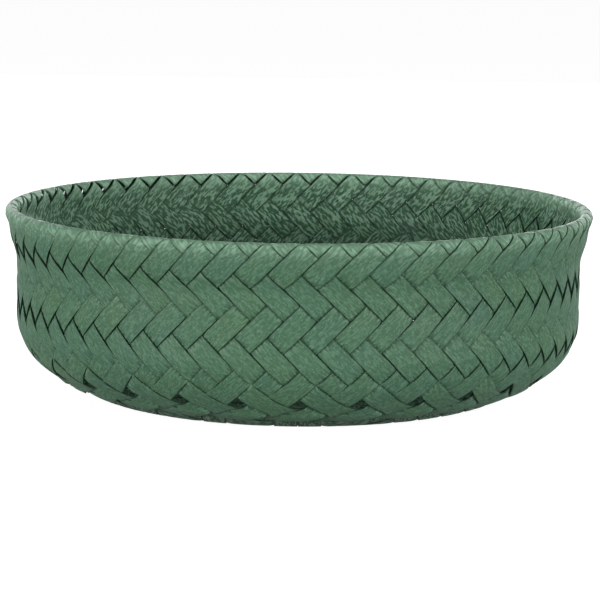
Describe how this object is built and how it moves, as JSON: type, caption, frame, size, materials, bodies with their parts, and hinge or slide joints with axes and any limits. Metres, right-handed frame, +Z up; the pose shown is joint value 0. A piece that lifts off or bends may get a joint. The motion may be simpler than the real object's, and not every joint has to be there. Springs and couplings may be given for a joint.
{
  "type": "round_basket",
  "caption": "Low round basket plaited on the bias from flat plastic straps, folded over at the rim, with a ring of small slots above a flat base.",
  "frame": {"origin": "Centre of the flat underside, at the level that the basket stands on.", "axes": "+Z up out of the open top, -Y towards the viewer of the picture, +X to the viewer's right."},
  "size_m": [0.2976, 0.2972, 0.094],
  "materials": {
    "green_strap": "satin extruded plastic strap with fine fibres and pale dashes along its length",
    "green_base": "the same strap, doubled across the base, a little bluer and darker"
  },
  "bodies": {
    "root": {"strap_01": "green_strap", "strap_02": "green_strap", "strap_03": "green_strap", "strap_04": "green_strap", "strap_05": "green_strap", "strap_06": "green_strap", "strap_07": "green_strap", "strap_08": "green_strap", "strap_09": "green_strap", "strap_10": "green_strap", "strap_11": "green_strap", "strap_12": "green_strap", "strap_13": "green_strap", "strap_14": "green_strap", "strap_15": "green_strap", "strap_16": "green_strap", "strap_17": "green_strap", "strap_18": "green_strap", "strap_19": "green_strap", "strap_20": "green_strap", "strap_21": "green_strap", "strap_22": "green_strap", "strap_23": "green_strap", "strap_24": "green_strap", "strap_25": "green_strap", "strap_26": "green_strap", "strap_27": "green_strap", "strap_28": "green_strap", "strap_29": "green_strap", "strap_30": "green_strap", "strap_31": "green_strap", "strap_32": "green_strap", "strap_33": "green_strap", "strap_34": "green_strap", "strap_35": "green_strap", "strap_36": "green_strap", "strap_37": "green_strap", "strap_38": "green_strap", "strap_39": "green_strap", "strap_40": "green_strap", "strap_41": "green_strap", "strap_42": "green_strap", "strap_43": "green_strap", "strap_44": "green_strap", "strap_45": "green_strap", "strap_46": "green_strap", "strap_47": "green_strap", "strap_48": "green_strap", "strap_49": "green_strap", "strap_50": "green_strap", "strap_51": "green_strap", "strap_52": "green_strap", "strap_53": "green_strap", "strap_54": "green_strap", "strap_55": "green_strap", "strap_56": "green_strap", "strap_57": "green_strap", "strap_58": "green_strap", "corner": "green_base", "floor": "green_base"}
  },
  "joints": []
}
